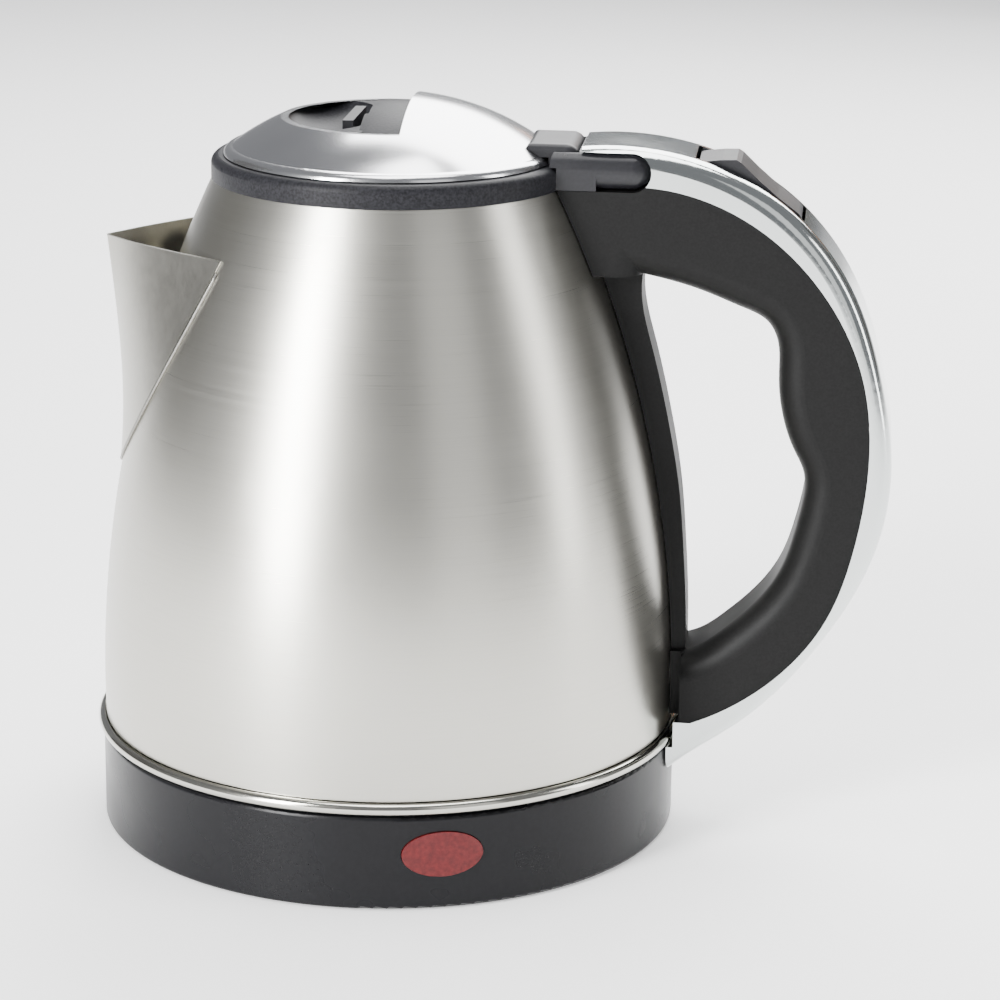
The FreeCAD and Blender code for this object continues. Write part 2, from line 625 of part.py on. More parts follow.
def make_lamp():
    inside = HOUSING_INSIDE
    face = common("lens_face", lens_prism("lens_face_bar", "0", "housing_radius - 6", "housing_radius + 6"),
                  sleeve("lens_face_ring", "housing_radius + lens_proud", inside + " - 0.2",
                         "0", "30", "0", "0"))
    back = common("lens_back",
                  lens_prism("lens_back_bar", "1.2", "housing_radius - 9", "housing_radius + 6"),
                  sleeve("lens_back_ring", inside + " - joint_gap", inside + " - 1.6", "0", "30", "0", "0"))
    keep("lamp_lens", fuse("lamp_lens_fused", [face, back]))

    turn = math.radians(LENS_ANGLE)
    out = Vector(math.cos(turn), math.sin(turn), 0)
    along = Vector(-out.y, out.x, 0)
    centre = out * (number(inside) - 6.6) + Vector(0, 0, number("lens_level"))
    lamp_radius = number("lamp_radius")
    half = 6.0
    tube = Part.makeCylinder(lamp_radius, 2 * half, centre - along * half, along)
    glass = tube.fuse([Part.makeSphere(lamp_radius, centre + along * half),
                       Part.makeSphere(lamp_radius, centre - along * half)]).removeSplitter()
    keep("neon_lamp", solid_feature("neon_lamp_glass", glass))
    foot = centre - out * 4.3 - along * 5.0
    foot.z = number(PLATE_TOP)
    block = Part.makeBox(8.6, 10.0, centre.z + 4.5 - foot.z)
    block.Placement = Placement(foot, Rotation(out, along, Vector(0, 0, 1), "XYZ"))
    bore = Part.makeCylinder(lamp_radius + 0.05, 20.0, centre - along * 10.0, along)
    window = Part.makeCylinder(lamp_radius * 0.8, 10.0, centre, out)
    keep("lamp_holder", solid_feature("lamp_holder_block", block.cut(bore).cut(window)))


# ---------------------------------------------------------------------------------------------
# Collar and lid
# ---------------------------------------------------------------------------------------------
def make_collar():
    outside = "(%s + 0.25)" % NECK
    skirt_out = "(%s - skin - 0.35)" % NECK
    skirt_in = "(%s - 2.2)" % skirt_out
    low = "neck_level - 8"
    seat = "neck_level + joint_gap"
    web = "%s - collar_web" % COLLAR_TOP
    corners = [(skirt_in, low), (skirt_out, low), (skirt_out, seat), (outside, seat),
               (outside, COLLAR_TOP + " - 2"), (outside + " - 2", COLLAR_TOP), ("collar_bore", COLLAR_TOP),
               ("collar_bore", web), (skirt_in, web)]
    blank = turned("collar", corners, {4: ("2.2", -1)})
    notch = cylinder("collar_barrel_room", "knuckle_radius + move_gap", "2 * knuckle_half + 2 * move_gap",
                     (HINGE_X, "-knuckle_half - move_gap", HINGE_Z), "Y")
    keep("collar_ring", cut("collar_cut", blank, [notch]))


def dome_outline(inset):
    """Radius and height of the dome's edge, moved inwards along its normal."""
    radius = "(%s - (%s) * %s / %s)" % (DOME_EDGE, inset, DOME_EDGE, DOME_CURVE)
    level = "(%s - (%s) * (%s - dome_rise) / %s)" % (DOME_FOOT, inset, DOME_CURVE, DOME_CURVE)
    return radius, level


def make_lid_cover():
    inner_edge = dome_outline("skin")
    corners = [("0", DOME_TOP + " - skin"), inner_edge, ("lid_radius - skin", RIM_LEVEL),
               ("lid_radius", RIM_LEVEL),
               (DOME_EDGE, DOME_FOOT), ("0", DOME_TOP)]
    arcs = {0: (DOME_CURVE + " - skin", 1), 1: ("2.6", 1), 3: ("2.4", -1), 4: (DOME_CURVE, -1)}
    dome = turned("dome", corners, arcs)
    opening = box("recess_opening", ("-lid_radius", "-lid_radius", RECESS_RIM),
                  ("recess_end", "lid_radius", DOME_TOP + " + 5"))
    holes = [cylinder("dome_hole_%d" % side, "1.15", "30", (KNUCKLE_SCREW_X, y, DOME_FOOT + " - 5"))
             for side, y in enumerate(KNUCKLE_SCREW_Y)]
    keep("lid_cover", cut("lid_cover_cut", dome, [opening] + holes))


KNUCKLE_SCREW_X = HINGE_X + " - 7.8"
KNUCKLE_SCREW_Y = ("-5", "5")
SCREW_SPOTS = (("-14", "18.5"), ("-14", "-18.5"), ("1", "20.5"), ("1", "-20.5"))


def make_lid_cup():
    """The moulded insert of the grip recess: a scooped floor, the latch slot and a rear step."""
    bottom = "(%s - recess_floor - 2)" % RECESS_RIM
    under_skin = sphere("under_skin", DOME_CURVE + " - skin - joint_gap", ("0", "0", DOME_CENTRE))
    step_top = sphere("step_top", DOME_CURVE + " - 3 * skin", ("0", "0", DOME_CENTRE))
    round_wall = cylinder("cup_round", "28.4", "20", ("0", "0", bottom))
    front = box("cup_front", ("-30", "-30", bottom), ("slot_end", "30", RECESS_RIM + " - joint_gap"))
    rear = box("cup_rear", ("slot_end - 1", "-30", bottom), ("recess_end - joint_gap", "30", DOME_TOP))
    front_part = common("cup_front_part", front, under_skin)
    rear_part = common("cup_rear_part", rear, step_top)
    blank = common("cup_blank", fuse("cup_parts", [front_part, rear_part]), round_wall)
    tools = []
    scoop = doc.addObject("Part::Ellipsoid", "scoop")
    scoop.Angle1, scoop.Angle2, scoop.Angle3 = -90, 90, 360
    bind(scoop, "Radius1", "recess_floor + 0.6")
    bind(scoop, "Radius2", "12.2")
    bind(scoop, "Radius3", "24")
    place(scoop, ("-15.4", "0", RECESS_RIM + " + 0.6"))
    tools.append(scoop)
    tools.append(box("latch_slot", ("slot_start", "-slot_half", bottom + " - 2"),
                     ("slot_end", "slot_half", DOME_TOP)))
    posts = []
    for spot, (x, y) in enumerate(SCREW_SPOTS):
        posts.append(cylinder("lid_post_%d" % spot, "2.8", "%s - (%s + plug_wall)" % (bottom, PLUG_BOTTOM),
                              (x, y, PLUG_BOTTOM + " + plug_wall")))
        tools.append(cylinder("lid_post_bore_%d" % spot, "1.35", "12", (x, y, PLUG_BOTTOM)))
    keep("lid_cup", cut("lid_cup_cut", fuse("lid_cup_blank", [blank] + posts), tools))


BOLT_LEVEL = "(%s - collar_web - 0.4 - bolt_height)" % COLLAR_TOP


def make_lid_plug():
    top = "(%s + 0.9)" % RIM_LEVEL
    corners = [("0", PLUG_BOTTOM), ("plug_radius", PLUG_BOTTOM), ("plug_radius", RIM_LEVEL),
               (DOME_EDGE + " - 0.8", RIM_LEVEL), (DOME_EDGE + " - 0.8", top),
               ("plug_radius - plug_wall", top),
               ("plug_radius - plug_wall", PLUG_BOTTOM + " + plug_wall"),
               ("0", PLUG_BOTTOM + " + plug_wall")]
    blank = turned("plug", corners)
    slot = box("bolt_slot", ("-plug_radius - 3", "-bolt_half - move_gap", BOLT_LEVEL + " - move_gap"),
               ("-plug_radius + 6", "bolt_half + move_gap", BOLT_LEVEL + " + bolt_height + move_gap"))
    holes = [cylinder("plug_hole_%d" % spot, "1.5", "6", (x, y, PLUG_BOTTOM + " - 2"))
             for spot, (x, y) in enumerate(SCREW_SPOTS)]
    vents = [cylinder("vent_%d" % step, "1.6", "6", (x, y, PLUG_BOTTOM + " - 2"))
             for x, y, step in around(5, 0.0, "8.0")]
    reliefs = [cylinder("plug_relief_%d" % side, "2.4", "5", (KNUCKLE_SCREW_X, y, RIM_LEVEL + " - 0.02"))
               for side, y in enumerate(KNUCKLE_SCREW_Y)]
    keep("lid_plug", cut("lid_plug_cut", blank, [slot] + holes + vents + reliefs))
    seal_top = "%s - 0.05" % RIM_LEVEL
    keep("lid_seal", sleeve("lid_seal_ring", "seal_radius", "plug_radius + 0.05",
                            seal_top + " - seal_height",
                            seal_top, "0", "0"))
    screws = [screw("lid_screw_%d" % spot, "1.3", x, y, PLUG_BOTTOM, PLUG_BOTTOM + " + 10", 2.0, 1.2)
              for spot, (x, y) in enumerate(SCREW_SPOTS)]
    keep("lid_screws", group("lid_screw_set", screws))


def make_knuckle():
    """The hinge knuckle: a barrel on the pin with a saddle that sits on the dome."""
    top = "%s + knuckle_radius" % HINGE_Z
    axis = xz(number(HINGE_X), number(HINGE_Z))
    radius, half = number("knuckle_radius"), number("knuckle_half")
    front = axis.x - number("knuckle_reach")
    under = number(RIM_LEVEL)
    meet = xz(axis.x - math.sqrt(radius ** 2 - (axis.z - under) ** 2), under)
    crown = slab([segment(xz(front, axis.z + radius), axis + xz(0, radius)),
                  Part.Arc(axis + xz(0, radius), axis + xz(radius * 0.8, -radius * 0.6), meet).toShape(),
                  segment(meet, xz(front, under)),
                  segment(xz(front, under), xz(front, axis.z + radius))], -half, half)
    upper = [edge for edge in crown.Edges if top_side_edge(edge, axis.z + radius, half)]
    saddle = solid_feature("knuckle_crown", crown.makeFillet(1.8, upper))
    ball = sphere("knuckle_seat", DOME_CURVE + " + joint_gap / 2", ("0", "0", DOME_CENTRE))
    rim = cylinder("knuckle_rim_seat", "lid_radius + joint_gap", "30", ("0", "0", DOME_FOOT + " - 30"))
    bore = cylinder("knuckle_bore", "pin_radius + pin_fit", "4 * knuckle_half",
                    (HINGE_X, "-2 * knuckle_half", HINGE_Z), "Y")
    threads = [cylinder("knuckle_thread_%d" % side, "1.05", "30", (KNUCKLE_SCREW_X, y, HINGE_Z + " - 15"))
               for side, y in enumerate(KNUCKLE_SCREW_Y)]
    dome_side = common("knuckle_keep", ball,
                       box("knuckle_keep_box", ("-5", "-30", DOME_FOOT), ("60", "30", DOME_TOP)))
    limit = box("thread_stop", (HINGE_X + " - 12", "-8", top + " - 0.8"),
                (HINGE_X + " - 6", "8", top + " + 20"))
    short_threads = cut("knuckle_threads", fuse("knuckle_thread_set", threads), [limit])
    keep("lid_knuckle", cut("lid_knuckle_cut", saddle, [dome_side, rim, bore, short_threads]))
    screws = []
    seat = "(%s - 1.4 - skin + sqrt(%s^2 - (%s)^2 - 25))" % (DOME_CENTRE, DOME_CURVE, KNUCKLE_SCREW_X)
    for side, y in enumerate(KNUCKLE_SCREW_Y):
        screws.append(screw("knuckle_screw_%d" % side, "1.0", KNUCKLE_SCREW_X, y, seat, top + " - 1",
                            1.9, 1.0))
    keep("knuckle_screws", group("knuckle_screw_set", screws))
    pin_half = "(shoulder_half - 2)"
    keep("hinge_pin", cylinder("hinge_pin_rod", "pin_radius", "2 * " + pin_half,
                               (HINGE_X, "-" + pin_half, HINGE_Z), "Y"))


def make_latch():
    tab_start = "(slot_start + 0.3)"
    tab_end = "(slot_start + 0.3 + tab_thick)"
    tab = box("tab", (tab_start, "-slot_half + move_gap", BOLT_LEVEL),
              (tab_end, "slot_half - move_gap", RECESS_RIM + " + 0.6"))
    tip = "-(collar_bore + bolt_reach)"
    bolt_top = BOLT_LEVEL + " + bolt_height"
    corners = [(tip, BOLT_LEVEL + " + bolt_height * 0.6"), (tip + " + 2.2", BOLT_LEVEL),
               (tab_end, BOLT_LEVEL),
               (tab_end, bolt_top), (tip, bolt_top)]
    bolt = plate("bolt", "XZ_Plane", corners, "2 * bolt_half")
    keep("latch_slider", fuse("latch_slider_fused", [tab, bolt]))

    radius, wire = number("spring_radius - spring_wire"), number("spring_wire")
    start, stop, turns = number("slot_end") + 0.5, number("recess_end") + 0.5, 7
    pitch = (stop - start) / turns
    helix = Part.makeHelix(pitch, stop - start, radius)
    circle = Part.Wire(Part.makeCircle(wire, Vector(radius, 0, 0), Vector(0, 1, 0)))
    coil = Part.Wire(helix.Edges).makePipeShell([circle], True, True)
    spring = solid_feature("latch_spring_coil", coil)
    level = number(BOLT_LEVEL) + 4.5
    spring.Placement = Placement(Vector(start, 0, level), Rotation(Vector(0, 1, 0), 90))
    keep("latch_spring", spring)
    keep("spring_post", box("spring_post_block", ("recess_end + 1", "-4", PLUG_BOTTOM + " + plug_wall"),
                            ("recess_end + 3", "4", PLUG_BOTTOM + " + plug_wall + 9")))


# ---------------------------------------------------------------------------------------------
# Handle: curves, shoulder, grip, trim
# ---------------------------------------------------------------------------------------------
# Knots of the handle's side view. Each is (how far it stands off the steel wall at its height,
# its height as a share of the wall's height over the bottom housing).
OUTER_KNOTS = ((29.5, 1.072), (54.2, 0.991), (63.9, 0.856), (65.0, 0.680), (62.0, 0.500), (54.5, 0.356),
               (40.0, 0.200), (18.5, 0.042), (6.0, -0.020), (0.4, -0.052))
SEAM_KNOTS = ((33.5, 0.996), (46.5, 0.943), (56.5, 0.838), (60.3, 0.690), (57.2, 0.540), (50.0, 0.380),
              (39.9, 0.232), (24.0, 0.116), (5.8, 0.046))
HOLE_KNOTS = ((10.9, 0.853), (24.4, 0.828), (34.1, 0.799), (39.4, 0.776), (40.5, 0.748), (38.2, 0.678),
              (36.8, 0.597), (37.9, 0.547), (39.4, 0.507), (38.3, 0.463), (34.7, 0.396), (29.5, 0.320),
              (22.8, 0.262), (13.3, 0.205), (7.0, 0.176), (3.8, 0.168))
SPINE_KNOTS = ((3.8, 0.168), (4.2, 0.235), (4.9, 0.362), (5.7, 0.456), (6.3, 0.591), (6.9, 0.718),
               (7.9, 0.796), (10.9, 0.853))


def handle_point(knot, y=0.0):
    standoff, share = knot
    low, high = number("housing_height"), number("neck_level")
    level = low + share * (high - low)
    return Vector(number(wall_at(level)) + standoff, y, level)


def spline(points):
    curve = Part.BSplineCurve()
    curve.interpolate(points)
    return curve


def moved_curve(curve, distance, steps=24):
    """A curve beside another one in the XZ plane: distance counts to the right of its way."""
    first, last = curve.FirstParameter, curve.LastParameter
    points = []
    for step in range(steps + 1):
        at = first + (last - first) * step / steps
        way = curve.tangent(at)[0]
        points.append(curve.value(at) + Vector(way.z, 0, -way.x) * distance)
    return spline(points)


def slab(edges, low, high):
    """A flat region in the XZ plane, padded between two values of Y."""
    face = Part.Face(Part.Wire(Part.sortEdges(edges)[0]))
    face.translate(Vector(0, low, 0))
    return face.extrude(Vector(0, high - low, 0))


def xz(x, z):
    return Vector(x, 0, z)


def outer_curve():
    start = xz(number(STRIP_FRONT), number(STRIP_TOP))
    return spline([start] + [handle_point(knot) for knot in OUTER_KNOTS])


def seam_curve():
    """Where the chrome trim meets the black grip, from under the shoulder to the lower end."""
    return spline([shoulder_arc_point(-45.0, 0.2)] + [handle_point(knot) for knot in SEAM_KNOTS])


def shoulder_end():
    """Centre and radius of the shoulder's rounded rear end."""
    rear = number(NECK) + number("shoulder_reach")
    high = number(SHOULDER_TOP)
    low = number("neck_level") + 0.4
    radius = (high - low) / 2
    return xz(rear - radius, high - radius), radius


def shoulder_arc_point(angle, gap):
    centre, radius = shoulder_end()
    turn = math.radians(angle)
    return centre + xz(math.cos(turn), math.sin(turn)) * (radius + gap)


def shoulder_arc(start, end, gap):
    """The rear end's outline, moved outwards by a gap, between two angles."""
    ends = [shoulder_arc_point(angle, gap) for angle in (start, (start + end) / 2, end)]
    return Part.Arc(*ends).toShape()


UPPER_SCREW_X = NECK + " + 6.1"
GRIP_SCREW_Y = ("-8.8", "8.8")
GRIP_SCREW_Z = "neck_level - 4"
LOWER_SCREW_X = "lower_face + 8.5"
LOWER_SEAT = "(housing_height + lower_seat)"


def make_shoulder():
    top, bottom = shoulder_arc_point(90.0, 0.0), shoulder_arc_point(-90.0, 0.0)
    neck, lug_low = number(NECK), number("neck_level") - 7.0
    front = xz(neck - 7.0, top.z)
    edges = [segment(front, top), shoulder_arc(90.0, -90.0, 0.0),
             segment(bottom, xz(neck + 8.1, bottom.z)),
             segment(xz(neck + 8.1, bottom.z), xz(neck + 8.1, lug_low)),
             segment(xz(neck + 8.1, lug_low), xz(neck - 7.0, lug_low)),
             segment(xz(neck - 7.0, lug_low), front)]
    half = number("shoulder_half")
    blank = slab(edges, -half, half)
    blank = blank.makeFillet(number("shoulder_round"),
                             [edge for edge in blank.Edges if top_side_edge(edge, top.z, half)])
    shoulder = solid_feature("shoulder_blank", blank)
    collar_room = cylinder("collar_room", NECK + " + 0.3", "40",
                           ("0", "0", COLLAR_TOP + " - 40 + joint_gap"))
    lid_room = cylinder("lid_room", "lid_radius + 3.2 * move_gap", "40", ("0", "0", COLLAR_TOP))
    wall_room = vessel_blank("shoulder_wall_room", "joint_gap", "neck_level - 40", "neck_level")
    barrel_room = cylinder("barrel_room", "knuckle_radius + move_gap", "2 * knuckle_half + 2 * move_gap",
                           (HINGE_X, "-knuckle_half - move_gap", HINGE_Z), "Y")
    saddle_room = box("saddle_room", (HINGE_X + " - 20", "-knuckle_half - move_gap", COLLAR_TOP),
                      (HINGE_X, "knuckle_half + move_gap", STRIP_TOP + " + 5"))
    pin_hole = cylinder("pin_hole", "pin_radius + pin_fit", "2 * shoulder_half - 3.6",
                        (HINGE_X, "-shoulder_half + 1.8", HINGE_Z), "Y")
    bracket_room = box("upper_bracket_room", (NECK + " - 10", "-7.2", "neck_level - 30"),
                       (NECK + " + 8.3", "7.2", "neck_level - 2"))
    pilots = [cylinder("lug_pilot", "screw_radius + 0.05", "12", (UPPER_SCREW_X, "0", "neck_level - 9"))]
    pilots += [cylinder("grip_pilot_%d" % side, "screw_radius + 0.05", "6",
                        (NECK + " + 3.3", y, GRIP_SCREW_Z), "X")
               for side, y in enumerate(GRIP_SCREW_Y)]
    lug_sides = [box("lug_side_%d" % side, (NECK + " - 10", low, "neck_level - 8"),
                     (NECK + " + 10", high, "neck_level + 0.4"))
                 for side, (low, high) in enumerate((("-shoulder_half - 1", "-lug_half"),
                                                     ("lug_half", "shoulder_half + 1")))]
    tools = [collar_room, lid_room, wall_room, barrel_room, saddle_room, pin_hole, bracket_room]
    keep("shoulder", cut("shoulder_cut", shoulder, tools + lug_sides + pilots))


def top_side_edge(edge, level, half):
    """True for the upper edges along the shoulder's sides."""
    ends = [vertex.Point for vertex in edge.Vertexes]
    return all(abs(abs(point.y) - half) < 1e-6 and abs(point.z - level) < 1e-6 for point in ends)


def grip_space():
    """Side view of the whole black moulding, with the finger hole still filled."""
    seam = seam_curve()
    start, end = seam.value(seam.FirstParameter), seam.value(seam.LastParameter)
    under = shoulder_arc_point(-90.0, 0.2)
    corners = [end, xz(60.0, end.z), xz(number(NECK) - 8, under.z), under]
    edges = [seam.toShape(), shoulder_arc(-90.0, -45.0, 0.2)]
    edges += [segment(corners[i], corners[i + 1]) for i in range(len(corners) - 1)]
    return edges


def hole_edges():
    outer = spline([handle_point(knot) for knot in HOLE_KNOTS])
    inner = spline([handle_point(knot) for knot in SPINE_KNOTS])
    return [outer.toShape(), inner.toShape()]


def grip_shape():
    half, low = number("grip_half"), number("housing_height")
    solid = slab(grip_space(), -half, half)
    hole = slab(hole_edges(), -half - 5, half + 5)
    solid = solid.cut(hole)
    rim = Part.Wire(hole_edges())
    solid = solid.makeFillet(number("grip_round"), [edge for edge in solid.Edges if on_rim(edge, half, rim)])

    # the strip along the vessel is narrower than the grip: both sides are cut back
    spine = number("spine_half")
    hole_left = spline([handle_point(knot) for knot in SPINE_KNOTS])
    face = number("lower_face")
    shift = moved_curve(hole_left, 0.3)
    first, last = shift.value(shift.FirstParameter), shift.value(shift.LastParameter)
    step = first.z - 0.5
    side_view = [shift.toShape(), segment(last, xz(40.0, last.z)), segment(xz(40.0, last.z), xz(40.0, step)),
                 segment(xz(40.0, step), xz(face, step)), segment(xz(face, step), first)]
    foot_view = [segment(xz(40.0, step), xz(face, step)), segment(xz(face, step), xz(face, low - 5)),
                 segment(xz(face, low - 5), xz(40.0, low - 5)), segment(xz(40.0, low - 5), xz(40.0, step))]
    for view, cheek in ((side_view, spine), (foot_view, number("foot_half"))):
        for low_y, high_y in ((cheek, half + 5), (-half - 5, -cheek)):
            solid = solid.cut(slab(view, low_y, high_y))

    # the hollow behind the trim
    wall = number("grip_wall")
    hole_right = spline([handle_point(knot) for knot in HOLE_KNOTS])
    inner = moved_curve(hole_right, -wall)
    seam = moved_curve(seam_curve(), -4.0)
    a, b = inner.value(inner.FirstParameter), inner.value(inner.LastParameter)
    c, d = seam.value(seam.FirstParameter), seam.value(seam.LastParameter)
    end_level = number(LOWER_SEAT)
    front = number(NECK) + 8.3 + wall
    ceiling = number("neck_level") - 1.3
    space = [inner.toShape(), segment(b, xz(b.x + 1.5, end_level)),
             segment(xz(b.x + 1.5, end_level), xz(d.x + 9, end_level)),
             segment(xz(d.x + 9, end_level), moved_point(seam, 0.94)), part_of(seam, 0.08, 0.94),
             segment(moved_point(seam, 0.08), xz(c.x + 3, ceiling)),
             segment(xz(c.x + 3, ceiling), xz(front, ceiling)),
             segment(xz(front, ceiling), xz(front, a.z)), segment(xz(front, a.z), a)]
    hollow = slab(space, -half + wall, half - wall)
    return solid.cut(hollow)


def on_rim(edge, half, rim):
    """True for an edge on one of the two side faces that follows the given side-view curve."""
    middle = edge.valueAt((edge.FirstParameter + edge.LastParameter) / 2)
    if abs(abs(middle.y) - half) > 1e-6:
        return False
    return rim.distToShape(Part.Vertex(Vector(middle.x, 0, middle.z)))[0] < 1e-3


def moved_point(curve, share):
    return curve.value(curve.FirstParameter + share * (curve.LastParameter - curve.FirstParameter))


def part_of(curve, start, end):
    span = curve.LastParameter - curve.FirstParameter
    return curve.toShape(curve.FirstParameter + start * span, curve.FirstParameter + end * span)


def make_grip():
    grip = solid_feature("grip_moulding", grip_shape())
    wall_room = vessel_blank("grip_wall_room", "standoff", "housing_height", "neck_level + 1")
    bead_room = cylinder("grip_bead_room", "lower_face", "25.4", ("0", "0", "housing_height - 20"))
    duct_hole = cylinder("grip_duct_hole", "duct_radius + joint_gap", "20",
                         (wall_at("duct_level") + " - 3", "0", "duct_level"), "X")
    end_window = box("grip_end_window", ("lower_face - 3", "-6.5", LOWER_SEAT + " - 0.02"),
                     ("lower_face + 3", "6.5", LOWER_SEAT + " + 6"))
    channel = box("grip_wire_channel", ("lower_face - 1", "-wire_room", "housing_height - 5"),
                  ("lower_face + 4", "wire_room", LOWER_SEAT + " + 1"))
    shank_hole = cylinder("grip_shank_hole", "screw_radius + 0.1", "20",
                          (LOWER_SCREW_X, "0", LOWER_SEAT + " - 10"))
    head_room = cylinder("grip_head_room", "2 * screw_radius + 0.3", "12",
                         (LOWER_SCREW_X, "0", LOWER_SEAT + " - 14.8"))
    screw_holes = [cylinder("grip_screw_hole_%d" % side, "screw_radius + 0.15", "12",
                            (NECK + " + 6", y, GRIP_SCREW_Z), "X") for side, y in enumerate(GRIP_SCREW_Y)]
    lug_pocket = box("grip_lug_pocket", (NECK + " - 10", "-lug_half - 0.2", "neck_level - 7.3"),
                     (NECK + " + 8.3", "lug_half + 0.2", "neck_level + 2"))
    upper_room = cylinder("grip_upper_room", "1.4 * screw_radius + 0.3", "6",
                          (UPPER_SCREW_X, "0", "neck_level - 11"))
    collar_room = cylinder("grip_collar_room", NECK + " + 0.55", "10", ("0", "0", "neck_level - 0.3"))
    tools = [wall_room, bead_room, collar_room, duct_hole, end_window, channel, shank_hole, head_room,
             upper_room, lug_pocket]
    keep("handle_grip", cut("handle_grip_cut", grip, tools + screw_holes))


def trim_shape():
    outer, seam = outer_curve(), seam_curve()
    gap, half, wall = number("joint_gap"), number("shoulder_half"), number("trim_wall")

    # a thick band under the outer curve, with its two outer edges rounded
    under = moved_curve(outer, 20.0)
    band = slab([outer.toShape(), under.toShape(), segment(moved_point(outer, 0), moved_point(under, 0)),
                 segment(moved_point(outer, 1), moved_point(under, 1))], -half, half)
    rim = outer.toShape()
    band = band.makeFillet(number("shoulder_round"),
                           [side for side in band.Edges if on_rim(side, half, rim)])

    # only what lies over the shoulder and outside the seam with the grip is kept
    top, low = shoulder_arc_point(90.0, gap), shoulder_arc_point(-38.0, gap)
    front = xz(number(STRIP_FRONT), top.z)
    outside, edge = moved_curve(outer, -3.0), moved_curve(seam, -gap)
    side_view = [outside.toShape(), segment(moved_point(outside, 0), front), segment(front, top),
                 shoulder_arc(90.0, -38.0, gap), segment(low, moved_point(edge, 0)), edge.toShape()]
    # at the foot it closes on the housing, whose room is cut out of it later
    high_end, low_end = moved_point(edge, 1), moved_point(outside, 1)
    side_view += [segment(high_end, xz(72.0, high_end.z)), segment(xz(72.0, high_end.z), xz(72.0, low_end.z)),
                  segment(xz(72.0, low_end.z), low_end)]
    solid = band.common(slab(side_view, -half - 1, half + 1))

    inside, deep = moved_curve(outer, wall), moved_curve(seam, 6.0)
    hollow_edges = [part_of(inside, 0.17, 0.975),
                    segment(moved_point(inside, 0.975), moved_point(deep, 0.97)),
                    part_of(deep, 0.07, 0.97), segment(moved_point(deep, 0.07), moved_point(inside, 0.17))]
    return solid.cut(slab(hollow_edges, -half + wall, half - wall))


def make_trim():
    trim = solid_feature("trim_moulding", trim_shape())
    bead_room = cylinder("trim_bead_room", "lower_face", "30", ("0", "0", "housing_height - 0.3"))
    housing_room = cylinder("trim_housing_room", "housing_radius + move_gap", "60", ("0", "0", "-10"))
    rocker_slot = box("rocker_slot",
                      ("rocker_pivot_x - 12.3", "-rocker_half - move_gap", "rocker_pivot_z - 12"),
                      ("rocker_pivot_x + 16.1", "rocker_half + move_gap", "rocker_pivot_z + 25"))
    channel = box("trim_wire_channel", ("housing_radius", "-wire_room", "housing_height - 2.7"),
                  ("lower_face + 4", "wire_room", "housing_height + 12"))
    head_room = cylinder("trim_head_room", "2 * screw_radius + 0.4", "12",
                         (LOWER_SCREW_X, "0", LOWER_SEAT + " - 15.2"))
    keep("handle_trim", cut("handle_trim_cut", trim,
                            [bead_room, housing_room, rocker_slot, channel, head_room]))


# ---------------------------------------------------------------------------------------------
# Steam switch, duct, brackets and wires in the handle
# ---------------------------------------------------------------------------------------------
def make_rocker():
    """The thumb rocker: a wedge over the trim, on a pin, with a foot that works the switch."""
    px, pz = "rocker_pivot_x", "rocker_pivot_z"
    view = ((-11.6, 8.6), (-11.4, 11.7), (-5.5, 12.4), (-1.8, 12.5), (-0.6, 11.8), (3.5, 7.9), (9.0, 3.2),
            (14.6, -1.0),
            (15.3, -2.2), (14.6, -4.2), (3.0, 0.4), (1.2, -10.4), (-1.2, -10.4), (-3.0, 2.0))
    corners = [("%s + (%s)" % (px, across), "%s + (%s)" % (pz, up)) for across, up in view]
    wedge = plate("rocker_wedge", "XZ_Plane", corners, "2 * rocker_half")
    bore = cylinder("rocker_bore", "1.5 + pin_fit", "40", (px, "-20", pz), "Y")
    keep("power_switch", cut("power_switch_cut", wedge, [bore]))
    keep("rocker_pin", cylinder("rocker_pin_rod", "1.5", "2 * rocker_half + 5",
                                (px, "-rocker_half - 2.5", pz), "Y"))


